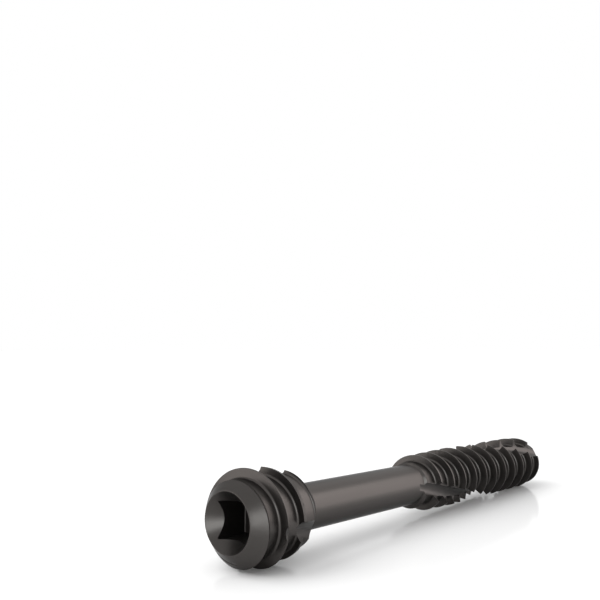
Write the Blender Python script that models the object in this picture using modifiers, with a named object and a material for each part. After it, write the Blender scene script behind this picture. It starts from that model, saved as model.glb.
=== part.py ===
"""Headless orthopedic bone screw, lying at rest on a flat surface.

One solid piece. A long coarse thread with two spiral flutes fills the tip half, a plain shaft
carries it, and a larger head with its own thread, relieved on three sides where it runs out,
ends in a countersunk square socket.
The screw is built upright, with the middle of its head face at the origin and its tip up
the +Z axis. It is then laid down with its tip towards +X, resting on both threads.
"""

import math

import bmesh
import bpy
from mathutils import Matrix, Vector

MM = 0.001

# Overall form, as heights above the head face.
LENGTH = 65.0 * MM
SHAFT_DIAMETER = 4.8 * MM
HEAD_TOP = 9.9 * MM
THREAD_LENGTH = 34.5 * MM
FORM_ANGLE = math.radians(45.0)
STEPS_PER_TURN = 36

# Tip thread.
CORE_DIAMETER = 5.3 * MM
THREAD_DIAMETER = 7.3 * MM
THREAD_PITCH = 2.86 * MM
THREAD_PHASE = 2.16 * MM
RUN_OUT_LENGTH = 8.0 * MM
RUN_OUT_DEPTH = 0.22 * MM
RUN_IN_LENGTH = 3.0 * MM
RUN_IN_DEPTH = 0.3 * MM

# Tip.
TIP_FLAT_RADIUS = 0.55 * MM
TIP_EDGE_RADIUS = 0.55 * MM
TIP_CONE_ANGLE = math.radians(46.0)
TIP_SHOULDER_RADIUS = 1.6 * MM
TIP_SHOULDER_TURN = math.radians(22.0)

# Head.
HEAD_CORE_DIAMETER = 7.65 * MM
HEAD_THREAD_DIAMETER = 9.62 * MM
HEAD_PITCH = 2.56 * MM
HEAD_PHASE = 1.24 * MM
HEAD_RUN_OUT_LENGTH = 3.4 * MM
HEAD_RUN_OUT_DEPTH = 0.7 * MM
HEAD_CONE_ANGLE = math.radians(38.0)
HEAD_FACE_RADIUS = 2.98 * MM

# Tooth forms: the flank that faces the tip slopes, and the one that faces the head is steep.
CREST_LAND = 0.14 * MM
TIP_FLANK_ANGLE = math.radians(27.0)
TIP_FLANK_FILLET = 0.7 * MM
STEEP_FLANK_ANGLE = math.radians(6.0)
STEEP_FLANK_FILLET = 0.25 * MM
HEAD_FLANK_ANGLE = math.radians(40.0)
HEAD_FLANK_FILLET = 0.5 * MM

# Flutes.
FLUTE_COUNT = 2
FLUTE_LEAD = 80.0 * MM
FLUTE_FACING = 50.8 * MM
FLUTE_BOTTOM_RADIUS = 2.3 * MM
FLUTE_NOSE_RADIUS = 1.15 * MM
FLUTE_SHALLOW_WALL = math.radians(56.0)
FLUTE_STEEP_WALL = math.radians(74.0)

# Reliefs in the head thread: round grooves that start at the crest and deepen towards the shaft.
RELIEF_COUNT = 3
RELIEF_RADIUS = 1.1 * MM
RELIEF_START = 2.4 * MM
RELIEF_SLOPE = math.radians(17.5)
RELIEF_SWING = math.radians(10.0)
RELIEF_TURN = math.radians(62.0)
RELIEF_SIDES = 18

# Socket.
SOCKET_RIM_RADIUS = 2.92 * MM
SOCKET_CONE_ANGLE = math.radians(38.0)
SOCKET_WIDTH = 3.6 * MM
SOCKET_DEPTH = 4.2 * MM

# The side wanted underneath, as an angle about the axis: the middle of a facet. The screw comes
# to rest on the nearest face of its convex hull that holds it up.
UNDERSIDE = math.radians(-90.0 - 180.0 / STEPS_PER_TURN)

# Clearances that keep the faces of joined shapes apart.
CLEAR = 0.06 * MM
INSET = 0.08 * MM
OVERRUN = 1.0 * MM
MERGE = 1e-7

METAL = (0.045, 0.042, 0.040, 1.0)


def clear_scene():
    for obj in list(bpy.data.objects):
        bpy.data.objects.remove(obj, do_unlink=True)


def new_collection(name):
    collection = bpy.data.collections.new(name)
    bpy.context.scene.collection.children.link(collection)
    return collection


def new_object(name, mesh, collection):
    obj = bpy.data.objects.new(name, mesh)
    collection.objects.link(obj)
    return obj


def as_cutter(obj):
    """Keeps a helper shape out of the finished part."""
    obj.hide_render = True
    obj.display_type = "WIRE"
    return obj


def arc(centre, radius, start, end, segments):
    """Points of an arc from one angle to another."""
    return [
        (
            centre[0] + radius * math.cos(start + (end - start) * i / segments),
            centre[1] + radius * math.sin(start + (end - start) * i / segments),
        )
        for i in range(segments + 1)
    ]


def turned(name, outline, collection):
    """A solid of revolution about Z from (radius, height) pairs, listed from top to bottom."""
    mesh = bpy.data.meshes.new(name)
    points = [(0.0, outline[0][1])] + list(outline) + [(0.0, outline[-1][1])]
    vertices = [(radius, 0.0, height) for radius, height in points]
    edges = [(i, i + 1) for i in range(len(vertices) - 1)]
    mesh.from_pydata(vertices, edges, [])
    obj = new_object(name, mesh, collection)
    screw = obj.modifiers.new("turn", "SCREW")
    screw.axis = "Z"
    screw.steps = STEPS_PER_TURN
    screw.render_steps = STEPS_PER_TURN
    screw.use_merge_vertices = True
    screw.merge_threshold = MERGE
    return obj


def wind(bm, geometry, rise, turns):
    """Winds geometry about Z while it rises evenly."""
    steps = max(1, math.ceil(abs(turns) * STEPS_PER_TURN))
    bmesh.ops.spin(
        bm,
        geom=geometry,
        cent=(0.0, 0.0, 0.0),
        axis=(0.0, 0.0, 1.0),
        dvec=(0.0, 0.0, rise / steps),
        angle=math.tau * turns,
        steps=steps,
    )


def finish_mesh(bm, name, collection):
    bmesh.ops.triangulate(bm, faces=bm.faces)
    bmesh.ops.recalc_face_normals(bm, faces=bm.faces)
    mesh = bpy.data.meshes.new(name)
    bm.to_mesh(mesh)
    bm.free()
    return new_object(name, mesh, collection)


def flank(core_radius, crest_radius, angle, fillet, segments):
    """One side of a tooth, as (radius, distance from the crest edge) from crest to root."""
    turn = math.pi / 2 - angle
    centre_radius = core_radius + fillet
    tangent_radius = centre_radius - fillet * math.cos(turn)
    tangent_distance = (crest_radius - tangent_radius) * math.tan(angle)
    centre_distance = tangent_distance + fillet * math.sin(turn)
    points = [(crest_radius, 0.0)]
    for i in range(segments + 1):
        left = turn * (1 - i / segments)
        points.append(
            (centre_radius - fillet * math.cos(left), centre_distance - fillet * math.sin(left))
        )
    return points


def threaded_bar(name, pitch, phase, low, high, upper, lower, collection):
    """A bar with a helical tooth, a little longer than the stretch from low to high.

    Its outline spans one pitch, so that each turn meets the next along the root.
    """
    up = [(radius, CREST_LAND / 2 + distance) for radius, distance in upper]
    down = [(radius, -CREST_LAND / 2 - distance) for radius, distance in lower]
    outline = down[::-1] + up + [(down[-1][0], down[-1][1] + pitch)]
    turns = math.ceil((high - low) / pitch) + 2
    base = phase + (math.floor((low - phase) / pitch) - 1) * pitch
    bm = bmesh.new()
    verts = [bm.verts.new((0.0, -radius, base + height)) for radius, height in outline]
    edges = [bm.edges.new(pair) for pair in zip(verts, verts[1:])]
    wind(bm, verts + edges, turns * pitch, turns)
    bmesh.ops.remove_doubles(bm, verts=bm.verts, dist=MERGE)
    rim = [edge for edge in bm.edges if edge.is_boundary]
    cap = bmesh.ops.extrude_edge_only(bm, edges=rim)["geom"]
    middle = base + turns * pitch / 2
    ends = [item for item in cap if isinstance(item, bmesh.types.BMVert)]
    for group in (
        [vert for vert in ends if vert.co.z < middle],
        [vert for vert in ends if vert.co.z >= middle],
    ):
        height = (min(vert.co.z for vert in group) + max(vert.co.z for vert in group)) / 2
        bmesh.ops.pointmerge(bm, verts=group, merge_co=(0.0, 0.0, height))
    return as_cutter(finish_mesh(bm, name, collection))


def form_outline():
    """The turned limits of the whole screw, from tip to head face."""
    shaft = SHAFT_DIAMETER / 2
    core = CORE_DIAMETER / 2
    crest = THREAD_DIAMETER / 2
    slope = math.tan(FORM_ANGLE)

    edge_turn = math.pi / 2 - TIP_CONE_ANGLE
    edge_centre = (TIP_FLAT_RADIUS, LENGTH - TIP_EDGE_RADIUS)
    edge = arc(edge_centre, TIP_EDGE_RADIUS, math.pi / 2, edge_turn, 3)
    bend = core - TIP_SHOULDER_RADIUS * (1 - math.cos(edge_turn))
    bend_height = edge[-1][1] - (bend - edge[-1][0]) / math.tan(TIP_CONE_ANGLE)
    shoulder_centre = (
        core - TIP_SHOULDER_RADIUS,
        bend_height - TIP_SHOULDER_RADIUS * math.sin(edge_turn),
    )
    shoulder = arc(
        shoulder_centre, TIP_SHOULDER_RADIUS, edge_turn, edge_turn - TIP_SHOULDER_TURN, 2
    )
    run_in = crest - RUN_IN_DEPTH
    run_in_height = shoulder[-1][1] - (run_in - shoulder[-1][0]) / slope
    full_in = run_in_height - RUN_IN_LENGTH * (RUN_IN_DEPTH + CLEAR) / RUN_IN_DEPTH

    thread_low = LENGTH - THREAD_LENGTH
    run_out = crest - RUN_OUT_DEPTH
    run_out_height = thread_low + (run_out - shaft) / slope
    full_out = run_out_height + RUN_OUT_LENGTH * (RUN_OUT_DEPTH + CLEAR) / RUN_OUT_DEPTH

    head_crest = HEAD_THREAD_DIAMETER / 2
    head_run = head_crest - HEAD_RUN_OUT_DEPTH
    head_run_height = HEAD_TOP - (head_run - shaft) / math.tan(HEAD_CONE_ANGLE)
    head_full = (
        head_run_height - HEAD_RUN_OUT_LENGTH * (HEAD_RUN_OUT_DEPTH + CLEAR) / HEAD_RUN_OUT_DEPTH
    )
    head_clear = head_crest + CLEAR
    chamfer_height = (head_clear - HEAD_FACE_RADIUS) / slope
    return edge + shoulder + [
        (run_in, run_in_height),
        (crest + CLEAR, full_in),
        (crest + CLEAR, full_out),
        (run_out, run_out_height),
        (shaft, thread_low),
        (shaft, HEAD_TOP),
        (head_run, head_run_height),
        (head_clear, head_full),
        (head_clear, chamfer_height),
        (HEAD_FACE_RADIUS, 0.0),
    ]


def flute(name, index, collection):
    """One spiral groove: a rounded nose between a shallow wall and a steep one."""
    nose = FLUTE_NOSE_RADIUS
    centre = FLUTE_BOTTOM_RADIUS + nose
    outer = THREAD_DIAMETER / 2 + OVERRUN
    left = -math.pi / 2 - FLUTE_SHALLOW_WALL
    right = -math.pi / 2 + FLUTE_STEEP_WALL
    curve = arc((0.0, centre), nose, left, right, 4)
    left_run = (outer - curve[0][1]) / math.tan(FLUTE_SHALLOW_WALL)
    right_run = (outer - curve[-1][1]) / math.tan(FLUTE_STEEP_WALL)
    section = [(curve[0][0] - left_run, outer)] + curve + [(curve[-1][0] + right_run, outer)]
    low = LENGTH - THREAD_LENGTH - OVERRUN
    high = LENGTH + OVERRUN
    angle = (low - FLUTE_FACING) / FLUTE_LEAD * math.tau + index * math.tau / FLUTE_COUNT
    turn = Matrix.Rotation(angle, 3, "Z")
    bm = bmesh.new()
    face = bm.faces.new([bm.verts.new(turn @ Vector((x, -r, low))) for x, r in section])
    wind(bm, [face], high - low, (high - low) / FLUTE_LEAD)
    return as_cutter(finish_mesh(bm, name, collection))


def relief(name, index, collection):
    """One round groove across the crests of the head thread."""
    length = (HEAD_TOP - RELIEF_START) / math.cos(RELIEF_SLOPE) + 2 * OVERRUN
    bm = bmesh.new()
    bmesh.ops.create_cone(
        bm,
        cap_ends=True,
        segments=RELIEF_SIDES,
        radius1=RELIEF_RADIUS,
        radius2=RELIEF_RADIUS,
        depth=length,
        matrix=Matrix.Translation((0.0, 0.0, length / 2 - OVERRUN)),
    )
    lean = Matrix.Rotation(-RELIEF_SWING, 4, "X") @ Matrix.Rotation(-RELIEF_SLOPE, 4, "Y")
    reach = HEAD_THREAD_DIAMETER / 2 + RELIEF_RADIUS
    out = Matrix.Translation((reach, 0.0, RELIEF_START))
    around = Matrix.Rotation(RELIEF_TURN + index * math.tau / RELIEF_COUNT, 4, "Z")
    bmesh.ops.transform(bm, matrix=around @ out @ lean, verts=bm.verts)
    return as_cutter(finish_mesh(bm, name, collection))


def socket_cone(collection):
    """The countersink that leads the driver into the square."""
    spread = math.tan(SOCKET_CONE_ANGLE)
    inner = SOCKET_WIDTH / 2 - INSET
    outline = [
        (inner, (SOCKET_RIM_RADIUS - inner) / spread),
        (SOCKET_RIM_RADIUS + OVERRUN * spread, -OVERRUN),
    ]
    return as_cutter(turned("socket_cone", outline, collection))


def socket_square(collection):
    """The square hole that the driver fits."""
    bm = bmesh.new()
    height = SOCKET_DEPTH + OVERRUN
    place = Matrix.Rotation(UNDERSIDE, 4, "Z") @ Matrix.Translation(
        (0.0, 0.0, SOCKET_DEPTH - height / 2)
    )
    size = Matrix.Diagonal((SOCKET_WIDTH, SOCKET_WIDTH, height, 1.0))
    bmesh.ops.create_cube(bm, size=1.0, matrix=place @ size)
    return as_cutter(finish_mesh(bm, "socket_square", collection))


def join(obj, other, operation):
    step = obj.modifiers.new(other.name, "BOOLEAN")
    step.operation = operation
    step.solver = "MANIFOLD"
    step.object = other


def screw_body(collection, helpers):
    """The whole screw, upright: threaded bars within a turned form that is fluted and bored."""
    core = CORE_DIAMETER / 2
    crest = THREAD_DIAMETER / 2
    head_core = HEAD_CORE_DIAMETER / 2
    head_crest = HEAD_THREAD_DIAMETER / 2
    bar = core - INSET
    body = turned("bone_screw", [(bar, LENGTH + CLEAR), (bar, -CLEAR)], collection)
    tip_thread = threaded_bar(
        "tip_thread", THREAD_PITCH, THREAD_PHASE, LENGTH - THREAD_LENGTH, LENGTH,
        flank(core, crest, TIP_FLANK_ANGLE, TIP_FLANK_FILLET, 2),
        flank(core, crest, STEEP_FLANK_ANGLE, STEEP_FLANK_FILLET, 1),
        helpers,
    )
    head_thread = threaded_bar(
        "head_thread", HEAD_PITCH, HEAD_PHASE, 0.0, HEAD_TOP,
        flank(head_core, head_crest, HEAD_FLANK_ANGLE, HEAD_FLANK_FILLET, 2),
        flank(head_core, head_crest, STEEP_FLANK_ANGLE, STEEP_FLANK_FILLET, 1),
        helpers,
    )
    form = as_cutter(turned("turned_form", form_outline(), helpers))
    for index in range(FLUTE_COUNT):
        join(form, flute(f"flute_{index + 1}", index, helpers), "DIFFERENCE")
    for index in range(RELIEF_COUNT):
        join(form, relief(f"relief_{index + 1}", index, helpers), "DIFFERENCE")
    join(form, socket_cone(helpers), "DIFFERENCE")
    join(form, socket_square(helpers), "DIFFERENCE")
    join(body, tip_thread, "UNION")
    join(body, head_thread, "UNION")
    join(body, form, "INTERSECT")
    return body


def solid_mesh(obj):
    """The finished solid as triangles."""
    bm = bmesh.new()
    bm.from_object(obj, bpy.context.evaluated_depsgraph_get())
    bmesh.ops.triangulate(bm, faces=bm.faces)
    return bm


def centre_of_mass(bm):
    """Centroid of the solid, summed over the tetrahedra from the origin to each triangle."""
    total = 0.0
    moment = Vector()
    for face in bm.faces:
        a, b, c = (vert.co for vert in face.verts)
        volume = a.dot(b.cross(c))
        total += volume
        moment += (a + b + c) / 4 * volume
    return moment / total


def holds_up(face, centre):
    """Whether the centre of mass stands over this face."""
    for loop in face.loops:
        edge = loop.link_loop_next.vert.co - loop.vert.co
        if face.normal.cross(edge).dot(centre - loop.vert.co) <= 0.0:
            return False
    return True


def lay_down(obj, helpers):
    """Lays the screw on its side, centred over the origin, with its tip towards +X."""
    bm = solid_mesh(obj)
    centre = centre_of_mass(bm)
    bmesh.ops.delete(bm, geom=bm.faces, context="FACES_ONLY")
    hull = bmesh.ops.convex_hull(bm, input=bm.verts)["geom"]
    bmesh.ops.recalc_face_normals(bm, faces=bm.faces)
    wanted = Vector((math.cos(UNDERSIDE), math.sin(UNDERSIDE), 0.0))
    faces = [item for item in hull if isinstance(item, bmesh.types.BMFace)]
    rests = [face for face in faces if holds_up(face, centre)]
    down = max(rests, key=lambda face: face.normal.dot(wanted)).normal
    along = (Vector((0.0, 0.0, 1.0)) - down * down.z).normalized()
    turn = Matrix((along, along.cross(down), -down))
    laid = [turn @ vert.co for vert in bm.verts]
    bm.free()
    low = Vector([min(point[i] for point in laid) for i in range(3)])
    high = Vector([max(point[i] for point in laid) for i in range(3)])
    shift = Vector((-(low.x + high.x) / 2, -(low.y + high.y) / 2, -low.z))
    for item in (obj, *helpers.objects):
        item.matrix_world = Matrix.Translation(shift) @ turn.to_4x4()


def main():
    clear_scene()
    part = new_collection("bone_screw")
    helpers = new_collection("helpers")
    body = screw_body(part, helpers)
    metal = bpy.data.materials.new("dark_titanium")
    metal.use_nodes = True
    shader = metal.node_tree.nodes["Principled BSDF"]
    shader.inputs["Base Color"].default_value = METAL
    shader.inputs["Metallic"].default_value = 1.0
    shader.inputs["Roughness"].default_value = 0.4
    body.data.materials.append(metal)
    lay_down(body, helpers)


main()
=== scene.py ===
"""Looks of a headless orthopedic bone screw that lies on a pale studio floor.

The screw is wound and turned again with fine steps: two threads, two spiral flutes, three reliefs
in the head thread and a countersunk square socket, in dark satin titanium.
"""

import logging
import math
from dataclasses import dataclass, field
from enum import Enum
from typing import Any, Optional, Union

import bmesh
import bpy
from mathutils import Matrix, Vector


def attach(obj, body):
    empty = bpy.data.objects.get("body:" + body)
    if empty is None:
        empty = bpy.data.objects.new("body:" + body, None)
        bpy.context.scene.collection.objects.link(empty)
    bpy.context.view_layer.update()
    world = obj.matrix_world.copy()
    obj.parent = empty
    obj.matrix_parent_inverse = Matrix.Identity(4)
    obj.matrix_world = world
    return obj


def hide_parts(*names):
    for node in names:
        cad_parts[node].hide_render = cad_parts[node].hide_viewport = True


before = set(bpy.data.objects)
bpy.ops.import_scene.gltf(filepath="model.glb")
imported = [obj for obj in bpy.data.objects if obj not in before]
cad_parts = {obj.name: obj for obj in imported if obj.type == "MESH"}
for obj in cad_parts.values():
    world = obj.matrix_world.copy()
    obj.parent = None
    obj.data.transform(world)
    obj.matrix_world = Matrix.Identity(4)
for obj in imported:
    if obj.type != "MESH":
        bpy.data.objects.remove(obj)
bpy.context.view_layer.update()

LOG = logging.getLogger("bone_screw")
MM = 0.001
MERGE = 1e-7
WELD = 10 * MERGE
BLACK = (0.0, 0.0, 0.0, 1.0)
WHITE = (1.0, 1.0, 1.0, 1.0)
MIX_FACTOR = 0
MIX_COLOURS = (6, 7)
MIXED_COLOUR = 2

Point = tuple[float, float]
Corner = tuple[float, float, float]
Colour = tuple[float, float, float, float]


class Solid(Enum):
    """How a helper solid acts on the one it is joined to."""

    ADD = "UNION"
    CUT = "DIFFERENCE"
    KEEP = "INTERSECT"


class Signal:
    """A socket of a node tree that takes part in Python expressions."""

    def __init__(self, maker: "NodeMaker", socket: bpy.types.NodeSocket) -> None:
        """Wraps one socket."""
        self.maker = maker
        self.socket = socket

    def out(self, name: Union[str, int]) -> "Signal":
        """Another output of the same node, by name or number."""
        return Signal(self.maker, self.socket.node.outputs[name])

    def __add__(self, other: "Value") -> "Signal":
        """Adds a number or a signal."""
        return self.maker.maths("ADD", self, other)

    def __sub__(self, other: "Value") -> "Signal":
        """Takes a number or a signal away."""
        return self.maker.maths("SUBTRACT", self, other)

    def __rsub__(self, other: "Value") -> "Signal":
        """Takes this signal away from a number."""
        return self.maker.maths("SUBTRACT", other, self)

    def __mul__(self, other: "Value") -> "Signal":
        """Multiplies by a number or a signal."""
        return self.maker.maths("MULTIPLY", self, other)

    def __truediv__(self, other: "Value") -> "Signal":
        """Divides by a number or a signal."""
        return self.maker.maths("DIVIDE", self, other)

    def __mod__(self, other: "Value") -> "Signal":
        """The remainder after division."""
        return self.maker.maths("MODULO", self, other)

    __radd__ = __add__
    __rmul__ = __mul__


Value = Union[Signal, float, int]


@dataclass
class NodeMaker:
    """Adds nodes to one tree, shader, world or geometry."""

    tree: bpy.types.NodeTree

    def node(
        self,
        kind: str,
        settings: Optional[dict[str, Any]] = None,
        inputs: Optional[dict[Union[str, int], Any]] = None,
    ) -> Signal:
        """Adds a node, sets it up and links it.

        Args:
            kind: The node's type name.
            settings: Attributes of the node, set before its sockets.
            inputs: Values or signals by socket name or number.

        Returns:
            The node's first output, or a stand-in on a node that has none.
        """
        node = self.tree.nodes.new(kind)
        for name, value in (settings or {}).items():
            setattr(node, name, value)
        for name, value in (inputs or {}).items():
            if isinstance(value, Signal):
                self.tree.links.new(value.socket, node.inputs[name])
            else:
                node.inputs[name].default_value = value
        return Signal(self, node.outputs[0] if node.outputs else node.inputs[0])

    def maths(self, operation: str, first: Value, second: Value) -> Signal:
        """One Math node on two values."""
        return self.node("ShaderNodeMath", {"operation": operation}, {0: first, 1: second})

    def mixed(self, share: Value, first: Colour, second: Colour) -> Signal:
        """One Mix node on two colours, from the first at a share of 0 to the second at 1."""
        inputs = {MIX_FACTOR: share, MIX_COLOURS[0]: first, MIX_COLOURS[1]: second}
        return self.node("ShaderNodeMix", {"data_type": "RGBA"}, inputs).out(MIXED_COLOUR)


def shown_to_eye(make: NodeMaker) -> Signal:
    """Tells the rays that show the surroundings from the rays that light them.

    Args:
        make: The maker of the tree that asks.

    Returns:
        1 for rays from the camera, straight or by way of a gloss, and 0 for all others.
    """
    path = make.node("ShaderNodeLightPath")
    direct = make.maths("MAXIMUM", path.out("Is Camera Ray"), path.out("Is Glossy Ray"))
    return make.maths("MAXIMUM", direct, path.out("Is Transmission Ray"))


def arc(centre: Point, radius: float, start: float, end: float, segments: int) -> list[Point]:
    """Points of an arc from one angle to another.

    Args:
        centre: The arc's centre.
        radius: The arc's radius.
        start: The first angle in radians.
        end: The last angle in radians.
        segments: How many straight pieces stand for the arc.

    Returns:
        The points, both ends included.
    """
    return [
        (
            centre[0] + radius * math.cos(start + (end - start) * i / segments),
            centre[1] + radius * math.sin(start + (end - start) * i / segments),
        )
        for i in range(segments + 1)
    ]


def rounded(bends: list[Corner], step: float = math.radians(12.0)) -> list[Point]:
    """A polyline whose corners are rounded.

    Args:
        bends: (x, y, radius) for each corner, where a radius of 0 keeps the corner.
        step: The largest turn between two pieces of a round, in radians.

    Returns:
        The polyline's points.
    """
    points = [bends[0][:2]]
    for before, here, after in zip(bends, bends[1:], bends[2:]):
        place = Vector(here[:2])
        back = (Vector(before[:2]) - place).normalized()
        ahead = (Vector(after[:2]) - place).normalized()
        turn = math.pi - back.angle(ahead)
        if here[2] == 0.0 or turn < MERGE:
            points.append((place.x, place.y))
            continue
        centre = place + (back + ahead).normalized() * here[2] / math.cos(turn / 2)
        reach = here[2] * math.tan(turn / 2)
        first = place + back * reach - centre
        last = place + ahead * reach - centre
        start = math.atan2(first.y, first.x)
        sweep = (math.atan2(last.y, last.x) - start + math.pi) % math.tau - math.pi
        segments = max(1, math.ceil(turn / step))
        points += arc((centre.x, centre.y), here[2], start, start + sweep, segments)
    points.append(bends[-1][:2])
    return points


def divided(points: list[Point], longest: float = 0.45 * MM) -> list[Point]:
    """The same polyline with its long pieces divided evenly, so that it shades cleanly.

    Args:
        points: The polyline's points.
        longest: The length that no piece exceeds.

    Returns:
        The polyline's points with the new ones between them.
    """
    result = [points[0]]
    for start, end in zip(points, points[1:]):
        pieces = max(1, math.ceil(math.dist(start, end) / longest))
        for i in range(1, pieces + 1):
            share = i / pieces
            x = start[0] + (end[0] - start[0]) * share
            y = start[1] + (end[1] - start[1]) * share
            result.append((x, y))
    return result


def placed(name: str, data: bpy.types.ID) -> bpy.types.Object:
    """Puts a mesh, a lamp or a camera into the scene.

    Args:
        name: The object's name.
        data: What it shows.

    Returns:
        The new object.
    """
    obj = bpy.data.objects.new(name, data)
    bpy.context.scene.collection.objects.link(obj)
    return obj


def polyline(name: str, points: list[Vector]) -> bpy.types.Object:
    """An object whose mesh is an open line of vertices.

    Args:
        name: The helper's name.
        points: The vertices in order.

    Returns:
        The line as a helper object.
    """
    mesh = bpy.data.meshes.new(name)
    mesh.from_pydata(points, [(i, i + 1) for i in range(len(points) - 1)], [])
    return placed(name, mesh)


def drop(obj: bpy.types.Object) -> None:
    """Removes a helper object and its mesh.

    Args:
        obj: The helper object.
    """
    mesh = obj.data
    bpy.data.objects.remove(obj, do_unlink=True)
    bpy.data.meshes.remove(mesh)


def poured(name: str, bm: bmesh.types.BMesh) -> bpy.types.Mesh:
    """Turns an edit mesh into a mesh and frees it.

    Args:
        name: The mesh's name.
        bm: The edit mesh, which is gone afterwards.

    Returns:
        The mesh.
    """
    mesh = bpy.data.meshes.new(name)
    bm.to_mesh(mesh)
    bm.free()
    return mesh


def baked(obj: bpy.types.Object) -> bpy.types.Mesh:
    """Applies an object's modifiers.

    Args:
        obj: The object with its modifiers.

    Returns:
        The shape as closed triangles that face outwards.
    """
    bpy.context.view_layer.update()
    graph = bpy.context.evaluated_depsgraph_get()
    mesh = bpy.data.meshes.new_from_object(obj.evaluated_get(graph), depsgraph=graph)
    bm = bmesh.new()
    bm.from_mesh(mesh)
    bmesh.ops.triangulate(bm, faces=bm.faces)
    bmesh.ops.recalc_face_normals(bm, faces=bm.faces)
    bm.to_mesh(mesh)
    bm.free()
    return mesh


@dataclass
class Winder:
    """A Geometry Nodes tree that winds a section about Z while it rises, and closes both ends."""

    steps_per_turn: int = 144
    tree: bpy.types.NodeTree = field(init=False)

    def __post_init__(self) -> None:
        """Builds the tree."""
        self.tree = bpy.data.node_groups.new("wound_solid", "GeometryNodeTree")
        sockets = (
            ("Section", "NodeSocketObject"),
            ("Section Points", "NodeSocketInt"),
            ("Steps", "NodeSocketInt"),
            ("Step Angle", "NodeSocketFloat"),
            ("Step Rise", "NodeSocketFloat"),
            ("Middle Height", "NodeSocketFloat"),
            ("Low Cap", "NodeSocketVector"),
            ("High Cap", "NodeSocketVector"),
            ("Finish", "NodeSocketMaterial"),
        )
        face = self.tree.interface
        for name, kind in sockets:
            face.new_socket(name=name, in_out="INPUT", socket_type=kind)
        face.new_socket(name="Geometry", in_out="OUTPUT", socket_type="NodeSocketGeometry")
        make = NodeMaker(self.tree)
        given = make.node("NodeGroupInput")
        wound = self._wound_grid(make, given)
        closed = self._closed_ends(make, given, wound)
        real = make.node("GeometryNodeRealizeInstances", inputs={"Geometry": closed})
        dressed = make.node(
            "GeometryNodeSetMaterial", inputs={"Geometry": real, "Material": given.out("Finish")}
        )
        make.node("NodeGroupOutput", inputs={0: dressed})

    @staticmethod
    def _wound_grid(make: NodeMaker, given: Signal) -> Signal:
        """Adds a grid with one column a step, each a turned and raised copy of the section.

        Args:
            make: The tree's maker.
            given: The tree's inputs.

        Returns:
            The wound skin, open at both ends.
        """
        grid = make.node(
            "GeometryNodeMeshGrid",
            inputs={
                "Vertices X": given.out("Steps") + 1,
                "Vertices Y": given.out("Section Points"),
            },
        )
        index = make.node("GeometryNodeInputIndex")
        row = index % given.out("Section Points")
        column = (index - row) / given.out("Section Points")
        section = make.node("GeometryNodeObjectInfo", inputs={"Object": given.out("Section")})
        place = make.node(
            "GeometryNodeSampleIndex",
            {"data_type": "FLOAT_VECTOR"},
            {
                "Geometry": section.out("Geometry"),
                "Value": make.node("GeometryNodeInputPosition"),
                "Index": row,
            },
        )
        turned = make.node(
            "ShaderNodeVectorRotate",
            {"rotation_type": "Z_AXIS"},
            {"Vector": place, "Angle": column * given.out("Step Angle")},
        )
        rise = make.node("ShaderNodeCombineXYZ", inputs={"Z": column * given.out("Step Rise")})
        raised = make.node("ShaderNodeVectorMath", {"operation": "ADD"}, {0: turned, 1: rise})
        moved = make.node(
            "GeometryNodeSetPosition", inputs={"Geometry": grid, "Position": raised}
        )
        return make.node(
            "GeometryNodeMergeByDistance", inputs={"Geometry": moved, "Distance": WELD}
        )

    @staticmethod
    def _closed_ends(make: NodeMaker, given: Signal, wound: Signal) -> Signal:
        """Gathers each open rim to its cap point.

        Args:
            make: The tree's maker.
            given: The tree's inputs.
            wound: The skin with its two open rims.

        Returns:
            The closed solid.
        """
        faces = make.node("GeometryNodeInputMeshEdgeNeighbors")
        rim = make.node(
            "FunctionNodeCompare", {"data_type": "INT", "operation": "EQUAL"}, {2: faces, 3: 1}
        )
        drawn = make.node(
            "GeometryNodeExtrudeMesh",
            {"mode": "EDGES"},
            {"Mesh": wound, "Selection": rim, "Offset Scale": 0.0},
        )
        height = make.node(
            "ShaderNodeSeparateXYZ", inputs={0: make.node("GeometryNodeInputPosition")}
        ).out("Z")
        is_high = make.maths("GREATER_THAN", height, given.out("Middle Height"))
        cap = make.node(
            "GeometryNodeSwitch",
            {"input_type": "VECTOR"},
            {"Switch": is_high, "False": given.out("Low Cap"), "True": given.out("High Cap")},
        )
        gathered = make.node(
            "GeometryNodeSetPosition",
            inputs={"Geometry": drawn, "Selection": drawn.out("Top"), "Position": cap},
        )
        return make.node(
            "GeometryNodeMergeByDistance", inputs={"Geometry": gathered, "Distance": WELD}
        )

    def wind(
        self,
        name: str,
        section: list[Vector],
        rise: float,
        turns: float,
        caps: tuple[Vector, Vector],
    ) -> bpy.types.Object:
        """Winds a section into a closed solid.

        Args:
            name: The helper's name.
            section: The section's points, at its lowest place.
            rise: How far one whole turn climbs.
            turns: How many turns are wound.
            caps: The points that the lower and the upper rim gather to.

        Returns:
            The solid as a helper object.
        """
        steps = math.ceil(turns * self.steps_per_turn)
        line = polyline(f"{name}_section", section)
        host = placed(name, bpy.data.meshes.new(name))
        modifier = host.modifiers.new("wind", "NODES")
        modifier.node_group = self.tree
        values = {
            "Section": line,
            "Section Points": len(section),
            "Steps": steps,
            "Step Angle": math.tau * turns / steps,
            "Step Rise": rise * turns / steps,
            "Middle Height": (caps[0].z + caps[1].z) / 2,
            "Low Cap": caps[0],
            "High Cap": caps[1],
        }
        for item in self.tree.interface.items_tree:
            if item.name in values:
                modifier[item.identifier] = values[item.name]
        mesh = baked(host)
        drop(host)
        drop(line)
        return placed(name, mesh)


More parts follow.
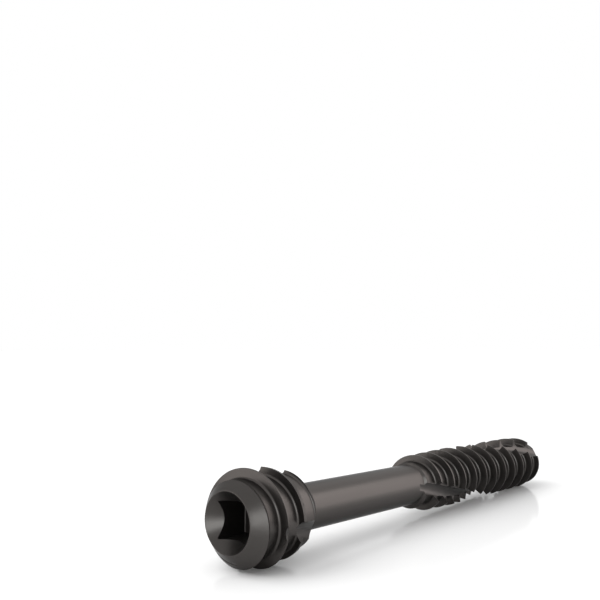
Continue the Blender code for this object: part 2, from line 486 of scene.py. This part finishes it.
@dataclass
class Turner:
    """Turned solids, made from their outlines with a Screw modifier."""

    steps: int = 144

    def turn(self, name: str, outline: list[Point]) -> bpy.types.Object:
        """A solid of revolution about Z.

        Args:
            name: The helper's name.
            outline: (radius, height) points of the outer side, from top to bottom.

        Returns:
            The solid as a helper object.
        """
        closed = [(0.0, outline[0][1])] + outline + [(0.0, outline[-1][1])]
        line = polyline(name, [Vector((radius, 0.0, height)) for radius, height in closed])
        screw = line.modifiers.new("turn", "SCREW")
        screw.axis = "Z"
        screw.steps = self.steps
        screw.render_steps = self.steps
        screw.use_merge_vertices = True
        screw.merge_threshold = MERGE
        mesh = baked(line)
        drop(line)
        return placed(name, mesh)


@dataclass
class Thread:
    """One helical thread, cut on a bar that is a little longer than its stretch."""

    name: str
    core_radius: float
    crest_radius: float
    pitch: float
    phase: float
    low: float
    high: float
    land: float
    tip_flank: float
    tip_fillet: float
    head_flank: float
    head_fillet: float
    crest_round: float = 0.03 * MM

    def section(self) -> list[Point]:
        """Draws one pitch of the bar's outline.

        Returns:
            (radius, height) points with the crest at height 0.
        """
        depth = self.crest_radius - self.core_radius
        below = self.land / 2 + depth * math.tan(self.head_flank)
        above = self.land / 2 + depth * math.tan(self.tip_flank)
        return rounded(
            [
                (self.core_radius, above - self.pitch + self.tip_fillet, 0.0),
                (self.core_radius, -below, self.head_fillet),
                (self.crest_radius, -self.land / 2, self.crest_round),
                (self.crest_radius, self.land / 2, self.crest_round),
                (self.core_radius, above, self.tip_fillet),
                (self.core_radius, above + self.tip_fillet, 0.0),
            ]
        )

    def build(self, winder: Winder) -> bpy.types.Object:
        """Winds the bar, with the phase read on the -Y side.

        Args:
            winder: What winds the section.

        Returns:
            The bar as a helper object.
        """
        turns = math.ceil((self.high - self.low) / self.pitch) + 2
        base = self.phase + (math.floor((self.low - self.phase) / self.pitch) - 1) * self.pitch
        section = [Vector((0.0, -radius, base + height)) for radius, height in self.section()]
        low = section[0].z + self.pitch / 2
        high = low + turns * self.pitch
        caps = (Vector((0.0, 0.0, low)), Vector((0.0, 0.0, high)))
        return winder.wind(self.name, section, self.pitch, turns, caps)


@dataclass
class TurnedForm:
    """The turned limits of the whole screw, as radii and heights above the head face."""

    length: float = 65.0 * MM
    shaft_radius: float = 2.4 * MM
    head_top: float = 9.9 * MM
    thread_length: float = 34.5 * MM
    slope: float = math.tan(math.radians(45.0))
    tip_flat: float = 0.55 * MM
    tip_edge: float = 0.55 * MM
    tip_cone: float = math.radians(46.0)
    tip_shoulder: float = 1.6 * MM
    tip_shoulder_turn: float = math.radians(22.0)
    core_radius: float = 2.65 * MM
    crest_radius: float = 3.65 * MM
    run_in: Point = (3.0 * MM, 0.3 * MM)
    run_out: Point = (8.0 * MM, 0.22 * MM)
    head_crest_radius: float = 4.81 * MM
    head_run_out: Point = (3.4 * MM, 0.7 * MM)
    head_cone: float = math.radians(38.0)
    head_face: float = 2.98 * MM
    clear: float = 0.06 * MM
    edge_round: float = 0.06 * MM
    neck_round: float = 0.25 * MM
    tip_edge_segments: int = 8
    tip_shoulder_segments: int = 6

    def tip(self) -> list[Point]:
        """Draws the blunt tip, down to where its shoulder ends.

        Returns:
            (radius, height) points from the top down.
        """
        turn = math.pi / 2 - self.tip_cone
        nose = arc(
            (self.tip_flat, self.length - self.tip_edge),
            self.tip_edge,
            math.pi / 2,
            turn,
            self.tip_edge_segments,
        )
        bend = self.core_radius - self.tip_shoulder * (1 - math.cos(turn))
        bend_height = nose[-1][1] - (bend - nose[-1][0]) / math.tan(self.tip_cone)
        centre = (
            self.core_radius - self.tip_shoulder,
            bend_height - self.tip_shoulder * math.sin(turn),
        )
        shoulder = arc(
            centre,
            self.tip_shoulder,
            turn,
            turn - self.tip_shoulder_turn,
            self.tip_shoulder_segments,
        )
        return nose + shoulder

    def outline(self) -> list[Point]:
        """Draws the outline from the tip down to the head face.

        Returns:
            (radius, height) points from the top down.
        """
        tip = self.tip()
        start = self.crest_radius - self.run_in[1]
        start_height = tip[-1][1] - (start - tip[-1][0]) / self.slope
        full = self.crest_radius + self.clear
        full_high = start_height - self._run_length(self.run_in)
        low = self.length - self.thread_length
        end = self.crest_radius - self.run_out[1]
        end_height = low + (end - self.shaft_radius) / self.slope
        full_low = end_height + self._run_length(self.run_out)
        rim = self.head_crest_radius - self.head_run_out[1]
        rim_height = self.head_top - (rim - self.shaft_radius) / math.tan(self.head_cone)
        wide = self.head_crest_radius + self.clear
        wide_height = rim_height - self._run_length(self.head_run_out)
        bends = [
            (*tip[-1], 0.0),
            (start, start_height, self.edge_round),
            (full, full_high, 0.0),
            (full, full_low, 0.0),
            (end, end_height, self.edge_round),
            (self.shaft_radius, low, self.edge_round),
            (self.shaft_radius, self.head_top, self.neck_round),
            (rim, rim_height, self.edge_round),
            (wide, wide_height, 0.0),
            (wide, (wide - self.head_face) / self.slope, 0.0),
            (self.head_face, 0.0, self.edge_round / 2),
            (self.head_face - self.edge_round, 0.0, 0.0),
        ]
        return divided(tip[:-1] + rounded(bends))

    def _run_length(self, run: Point) -> float:
        """The stretch in which a run of (length, depth) climbs clear of the crests."""
        return run[0] * (run[1] + self.clear) / run[1]


@dataclass
class Flutes:
    """The spiral grooves across the tip thread, each with a shallow wall and a steep one."""

    count: int = 2
    lead: float = 80.0 * MM
    facing: float = 50.8 * MM
    bottom: float = 2.3 * MM
    nose: float = 1.15 * MM
    shallow: float = math.radians(56.0)
    steep: float = math.radians(74.0)
    outer: float = 4.65 * MM
    low: float = 29.5 * MM
    high: float = 66.0 * MM
    segments: int = 14

    def section(self) -> list[Point]:
        """Draws the groove's closed outline.

        Returns:
            (sideways, radius) points, the first one again at the end.
        """
        down = -math.pi / 2
        curve = arc(
            (0.0, self.bottom + self.nose),
            self.nose,
            down - self.shallow,
            down + self.steep,
            self.segments,
        )
        left = curve[0][0] - (self.outer - curve[0][1]) / math.tan(self.shallow)
        right = curve[-1][0] + (self.outer - curve[-1][1]) / math.tan(self.steep)
        return [(left, self.outer)] + curve + [(right, self.outer), (left, self.outer)]

    def build(self, winder: Winder) -> list[bpy.types.Object]:
        """Winds one cutter for each flute.

        Args:
            winder: What winds the section.

        Returns:
            The cutters as helper objects.
        """
        turns = (self.high - self.low) / self.lead
        cutters = []
        for index in range(self.count):
            angle = (self.low - self.facing) / self.lead * math.tau + index * math.tau / self.count
            start = Matrix.Rotation(angle, 4, "Z")
            end = Matrix.Translation((0.0, 0.0, self.high - self.low)) @ Matrix.Rotation(
                angle + turns * math.tau, 4, "Z"
            )
            section = [start @ Vector((x, -radius, self.low)) for x, radius in self.section()]
            middle = Vector((0.0, -self.bottom - self.nose, self.low))
            caps = (start @ middle, end @ middle)
            cutters.append(winder.wind(f"flute_{index + 1}", section, self.lead, turns, caps))
        return cutters


@dataclass
class Reliefs:
    """The round grooves that cross the head thread and deepen towards the shaft."""

    count: int = 3
    radius: float = 1.1 * MM
    start: float = 2.4 * MM
    end: float = 9.9 * MM
    crest_radius: float = 4.81 * MM
    slope: float = math.radians(17.5)
    swing: float = math.radians(10.0)
    turn: float = math.radians(62.0)
    sides: int = 72
    overrun: float = 1.0 * MM

    def build(self) -> list[bpy.types.Object]:
        """Makes one cutter for each relief.

        Returns:
            The cutters as helper objects.
        """
        length = (self.end - self.start) / math.cos(self.slope) + 2 * self.overrun
        lean = Matrix.Rotation(-self.swing, 4, "X") @ Matrix.Rotation(-self.slope, 4, "Y")
        out = Matrix.Translation((self.crest_radius + self.radius, 0.0, self.start))
        cutters = []
        for index in range(self.count):
            around = Matrix.Rotation(self.turn + index * math.tau / self.count, 4, "Z")
            place = around @ out @ lean @ Matrix.Translation((0.0, 0.0, length / 2 - self.overrun))
            bm = bmesh.new()
            bmesh.ops.create_cone(
                bm,
                cap_ends=True,
                segments=self.sides,
                radius1=self.radius,
                radius2=self.radius,
                depth=length,
                matrix=place,
            )
            bmesh.ops.triangulate(bm, faces=bm.faces)
            name = f"relief_{index + 1}"
            cutters.append(placed(name, poured(name, bm)))
        return cutters


@dataclass
class Socket:
    """The driver's square hole and the countersink that leads into it."""

    rim: float = 2.92 * MM
    cone: float = math.tan(math.radians(38.0))
    width: float = 3.6 * MM
    depth: float = 4.2 * MM
    inset: float = 0.08 * MM
    overrun: float = 1.0 * MM
    edge_round: float = 0.15 * MM
    round_segments: int = 4

    def build(self, turner: Turner, roll: float) -> list[bpy.types.Object]:
        """Makes the two cutters.

        Args:
            turner: What turns the countersink.
            roll: The turn about the axis that has the square's flats level at rest.

        Returns:
            The cutters as helper objects.
        """
        inner = self.width / 2 - self.inset
        outline = [
            (inner, (self.rim - inner) / self.cone),
            (self.rim + self.overrun * self.cone, -self.overrun),
        ]
        cone = turner.turn("socket_cone", divided(outline))
        height = self.depth + self.overrun
        place = Matrix.Rotation(roll, 4, "Z") @ Matrix.Translation(
            (0.0, 0.0, self.depth - height / 2)
        )
        bm = bmesh.new()
        size = Matrix.Diagonal((self.width, self.width, height, 1.0))
        bmesh.ops.create_cube(bm, size=1.0, matrix=place @ size)
        bmesh.ops.bevel(
            bm,
            geom=bm.edges,
            offset=self.edge_round,
            segments=self.round_segments,
            profile=0.5,
            affect="EDGES",
        )
        bmesh.ops.triangulate(bm, faces=bm.faces)
        return [cone, placed("socket_square", poured("socket_square", bm))]


@dataclass(frozen=True)
class SatinTitanium:
    """Dark anodised titanium with a fine blasted grain and faint turning marks."""

    name: str = "dark_titanium"
    colour: Colour = (0.052, 0.0480, 0.0455, 1.0)
    light_colour: Colour = (0.063, 0.0582, 0.0551, 1.0)
    edge_colour: Colour = (0.60, 0.60, 0.60, 1.0)
    roughness: float = 0.32
    metallic: float = 0.90
    roughness_spread: float = 0.03
    patch_scale: float = 260.0
    patch_share: float = 0.6
    grain_scale: float = 9000.0
    grain_height: float = 0.0000012
    mark_scale: float = 7000.0
    mark_height: float = 0.0000007

    def build(self) -> bpy.types.Material:
        """Builds the material on the screw's own coordinates.

        Returns:
            The finish.
        """
        material = bpy.data.materials.new(self.name)
        material.use_nodes = True
        material.node_tree.nodes.clear()
        make = NodeMaker(material.node_tree)
        place = make.node("ShaderNodeTexCoord").out("Object")
        patches = make.node(
            "ShaderNodeTexNoise",
            inputs={"Vector": place, "Scale": self.patch_scale, "Detail": 3.0, "Roughness": 0.6},
        )
        grain = make.node(
            "ShaderNodeTexNoise",
            inputs={"Vector": place, "Scale": self.grain_scale, "Detail": 2.0, "Roughness": 0.6},
        )
        run = make.node("ShaderNodeSeparateXYZ", inputs={0: place}).out("X")
        marks = make.node(
            "ShaderNodeTexNoise",
            {"noise_dimensions": "1D"},
            {"W": run, "Scale": self.mark_scale, "Detail": 3.0, "Roughness": 0.7},
        )
        share = patches * self.patch_share + grain * (1.0 - self.patch_share)
        tone = make.mixed(share, self.colour, self.light_colour)
        rough = self.roughness + (patches - 0.5) * self.roughness_spread
        relief = grain * self.grain_height + marks * self.mark_height
        normal = make.node(
            "ShaderNodeBump", inputs={"Strength": 1.0, "Distance": 1.0, "Height": relief}
        )
        shader = make.node(
            "ShaderNodeBsdfPrincipled",
            inputs={
                "Base Color": tone,
                "Metallic": self.metallic,
                "Specular Tint": self.edge_colour,
                "Roughness": rough,
                "Normal": normal,
            },
        )
        make.node("ShaderNodeOutputMaterial", inputs={"Surface": shader})
        return material


@dataclass
class BoneScrew:
    """The whole screw: built upright with its head face at the origin, then laid down."""

    form: TurnedForm = field(default_factory=TurnedForm)
    flutes: Flutes = field(default_factory=Flutes)
    reliefs: Reliefs = field(default_factory=Reliefs)
    socket: Socket = field(default_factory=Socket)
    finish: SatinTitanium = field(default_factory=SatinTitanium)
    rest_tilt: float = math.radians(1.193)
    rest_roll: float = math.radians(5.1)
    sharp_angle: float = math.radians(32.0)
    node: str = "bone_screw"

    def tip_thread(self) -> Thread:
        """Sizes the coarse thread on the tip half.

        Returns:
            The thread.
        """
        return Thread(
            name="tip_thread",
            core_radius=self.form.core_radius,
            crest_radius=self.form.crest_radius,
            pitch=2.86 * MM,
            phase=2.16 * MM,
            low=self.form.length - self.form.thread_length,
            high=self.form.length,
            land=0.14 * MM,
            tip_flank=math.radians(27.0),
            tip_fillet=0.7 * MM,
            head_flank=math.radians(6.0),
            head_fillet=0.25 * MM,
        )

    def head_thread(self) -> Thread:
        """Sizes the wider thread on the head.

        Returns:
            The thread.
        """
        return Thread(
            name="head_thread",
            core_radius=3.825 * MM,
            crest_radius=self.form.head_crest_radius,
            pitch=2.56 * MM,
            phase=1.24 * MM,
            low=0.0,
            high=self.form.head_top,
            land=0.14 * MM,
            tip_flank=math.radians(40.0),
            tip_fillet=0.5 * MM,
            head_flank=math.radians(6.0),
            head_fillet=0.25 * MM,
        )

    def solid(self) -> bpy.types.Mesh:
        """Joins every helper solid into the upright screw.

        Returns:
            The screw's mesh, with its head face at the origin.
        """
        winder = Winder()
        turner = Turner()
        form = turner.turn("turned_form", self.form.outline())
        cutters = self.flutes.build(winder) + self.reliefs.build()
        cutters += self.socket.build(turner, -self.rest_roll)
        for cutter in cutters:
            self._join(form, cutter, Solid.CUT)
        bar = self.form.core_radius - self.form.clear
        core = turner.turn(
            "core", [(bar, self.form.length + self.form.clear), (bar, -self.form.clear)]
        )
        threads = [thread.build(winder) for thread in (self.tip_thread(), self.head_thread())]
        for thread in threads:
            self._join(core, thread, Solid.ADD)
        self._join(core, form, Solid.KEEP)
        mesh = baked(core)
        for obj in [core, form, *cutters, *threads]:
            drop(obj)
        return mesh

    @staticmethod
    def _join(obj: bpy.types.Object, other: bpy.types.Object, how: Solid) -> None:
        """Adds one Boolean step.

        Args:
            obj: The object that the step works on.
            other: The helper that acts on it.
            how: How it acts.
        """
        step = obj.modifiers.new(other.name, "BOOLEAN")
        step.operation = how.value
        step.solver = "MANIFOLD"
        step.object = other

    def lay_down(self, mesh: bpy.types.Mesh) -> None:
        """Lays the mesh on its side as the CAD part lies, tip towards +X, over the origin.

        Args:
            mesh: The upright screw, which is moved.
        """
        onto_side = Matrix(((0, 0, 1, 0), (1, 0, 0, 0), (0, 1, 0, 0), (0, 0, 0, 1)))
        tilt = Matrix.Rotation(self.rest_tilt, 4, "Y")
        mesh.transform(tilt @ onto_side @ Matrix.Rotation(self.rest_roll, 4, "Z"))
        low = [min(vert.co[i] for vert in mesh.vertices) for i in range(3)]
        high = [max(vert.co[i] for vert in mesh.vertices) for i in range(3)]
        mesh.transform(
            Matrix.Translation((-(low[0] + high[0]) / 2, -(low[1] + high[1]) / 2, -low[2]))
        )

    def build(self) -> bpy.types.Object:
        """Returns:
            The screw.
        """
        mesh = self.solid()
        self.lay_down(mesh)
        mesh.name = "screw_metal"
        mesh.materials.clear()
        mesh.materials.append(self.finish.build())
        mesh.shade_smooth()
        mesh.set_sharp_from_angle(angle=self.sharp_angle)
        piece = placed("screw_metal", mesh)
        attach(piece, "root")
        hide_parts(self.node)
        LOG.info("%s: %d triangles", piece.name, len(mesh.polygons))
        return piece


@dataclass
class PaleFloor:
    """A large pale floor with a slight gloss, which keeps the screw's shadow.

    Away from the screw it gives off the backdrop's own white, so that no horizon shows: none
    within the distance white_from, and all of it from white_at on.
    """

    half_width: float = 6.0
    colour: Colour = (0.95, 0.95, 0.95, 1.0)
    roughness: float = 0.12
    specular: float = 0.09
    white_from: float = 0.09
    white_at: float = 0.35

    def finish(self) -> bpy.types.Material:
        """Builds the floor's material.

        Returns:
            The finish.
        """
        material = bpy.data.materials.new("pale_floor")
        material.use_nodes = True
        material.node_tree.nodes.clear()
        make = NodeMaker(material.node_tree)
        place = make.node("ShaderNodeTexCoord").out("Object")
        length = make.node("ShaderNodeVectorMath", {"operation": "LENGTH"}, {0: place})
        away = make.node(
            "ShaderNodeMapRange",
            inputs={
                "Value": length.out("Value"),
                "From Min": self.white_from,
                "From Max": self.white_at,
            },
        )
        shader = make.node(
            "ShaderNodeBsdfPrincipled",
            inputs={
                "Base Color": self.colour,
                "Roughness": self.roughness,
                "Specular IOR Level": self.specular,
                "Emission Color": make.mixed(away * shown_to_eye(make), BLACK, WHITE),
                "Emission Strength": 1.0,
            },
        )
        make.node("ShaderNodeOutputMaterial", inputs={"Surface": shader})
        return material

    def build(self) -> bpy.types.Object:
        """Builds the floor just under the lowest crest.

        Returns:
            The floor.
        """
        bm = bmesh.new()
        bmesh.ops.create_grid(bm, x_segments=1, y_segments=1, size=self.half_width)
        mesh = poured("studio_floor", bm)
        mesh.materials.append(self.finish())
        floor = placed("studio_floor", mesh)
        return floor


@dataclass(frozen=True)
class SoftBox:
    """A large square lamp that faces the screw.

    Its azimuth and elevation are in degrees, and an azimuth of 0 stands on the -Y side. A lamp
    either shows as a reflection in the metal, or lights the floor, or does both.
    """

    name: str
    azimuth: float
    elevation: float
    distance: float
    size: float
    radiance: float
    tint: tuple[float, float, float]
    lights_floor: bool = False
    shows_in_metal: bool = True

    def build(self) -> bpy.types.Object:
        """Places the lamp, with its power worked out from its radiance.

        Returns:
            The lamp.
        """
        data = bpy.data.lights.new(self.name, "AREA")
        data.shape = "SQUARE"
        data.size = self.size
        data.energy = self.radiance * math.pi * self.size**2
        data.color = self.tint
        lamp = placed(self.name, data)
        azimuth, elevation = math.radians(self.azimuth), math.radians(self.elevation)
        out = Vector(
            (
                math.sin(azimuth) * math.cos(elevation),
                -math.cos(azimuth) * math.cos(elevation),
                math.sin(elevation),
            )
        )
        lamp.location = out * self.distance
        lamp.rotation_mode = "QUATERNION"
        lamp.rotation_quaternion = out.to_track_quat("Z", "Y")
        lamp.visible_diffuse = self.lights_floor
        lamp.visible_glossy = self.shows_in_metal
        return lamp


@dataclass
class Studio:
    """The white surroundings, which light the screw at the ambient level, and the soft lamps."""

    ambient: float = 0.90
    boxes: tuple[SoftBox, ...] = (
        SoftBox(
            name="right_box",
            azimuth=54.0,
            elevation=19.0,
            distance=0.6,
            size=0.44,
            radiance=2.5,
            tint=(1.0, 0.93, 0.92),
        ),
        SoftBox(
            name="front_box",
            azimuth=325.0,
            elevation=9.0,
            distance=0.7,
            size=0.42,
            radiance=4.5,
            tint=(0.93, 0.985, 1.0),
        ),
        SoftBox(
            name="left_box",
            azimuth=237.0,
            elevation=8.0,
            distance=0.6,
            size=0.40,
            radiance=1.8,
            tint=(1.0, 0.95, 0.93),
        ),
        SoftBox(
            name="top_box",
            azimuth=80.0,
            elevation=66.0,
            distance=0.8,
            size=1.20,
            radiance=0.8,
            tint=(1.0, 0.96, 0.94),
        ),
        SoftBox(
            name="floor_box",
            azimuth=245.0,
            elevation=45.0,
            distance=0.8,
            size=0.80,
            radiance=2.2,
            tint=(1.0, 1.0, 1.0),
            lights_floor=True,
            shows_in_metal=False,
        ),
    )

    def build(self) -> None:
        """Builds the world and the lamps."""
        scene = bpy.context.scene
        scene.view_settings.view_transform = "Standard"
        world = bpy.data.worlds.new("white_studio")
        world.use_nodes = True
        world.node_tree.nodes.clear()
        scene.world = world
        make = NodeMaker(world.node_tree)
        level = shown_to_eye(make) * (1.0 - self.ambient) + self.ambient
        backdrop = make.node("ShaderNodeBackground", inputs={"Color": WHITE, "Strength": level})
        make.node("ShaderNodeOutputWorld", inputs={"Surface": backdrop})
        for box in self.boxes:
            box.build()


@dataclass
class PhotoCamera:
    """The camera at the photograph's place, almost level, with its frame moved by lens shift."""

    place: Vector = field(default_factory=lambda: Vector((-81.30, -50.29, 20.81)) * MM)
    heading: float = 0.7040
    pitch: float = -0.0059
    roll: float = 0.0030
    lens: float = 45.917
    shift_y: float = 0.0889
    sensor: float = 36.0
    sight: tuple[float, float] = (0.001, 50.0)

    def build(self) -> bpy.types.Object:
        """Builds the camera and makes it the scene's own.

        Returns:
            The camera.
        """
        data = bpy.data.cameras.new("photo_camera")
        data.sensor_width = self.sensor
        data.lens = self.lens
        data.shift_y = self.shift_y
        data.clip_start, data.clip_end = self.sight
        camera = placed("photo_camera", data)
        camera.location = self.place
        camera.rotation_mode = "QUATERNION"
        turn = Matrix.Rotation(self.heading - math.pi / 2, 4, "Z")
        nod = Matrix.Rotation(math.pi / 2 + self.pitch, 4, "X")
        lean = Matrix.Rotation(-self.roll, 4, "Z")
        camera.rotation_quaternion = (turn @ nod @ lean).to_quaternion()
        bpy.context.scene.camera = camera
        return camera


def main() -> None:
    """Builds the camera, the studio, the floor and the screw."""
    logging.basicConfig(level=logging.INFO, format="%(name)s: %(message)s")
    PhotoCamera().build()
    Studio().build()
    PaleFloor().build()
    BoneScrew().build()


if __name__ == "__main__":
    main()
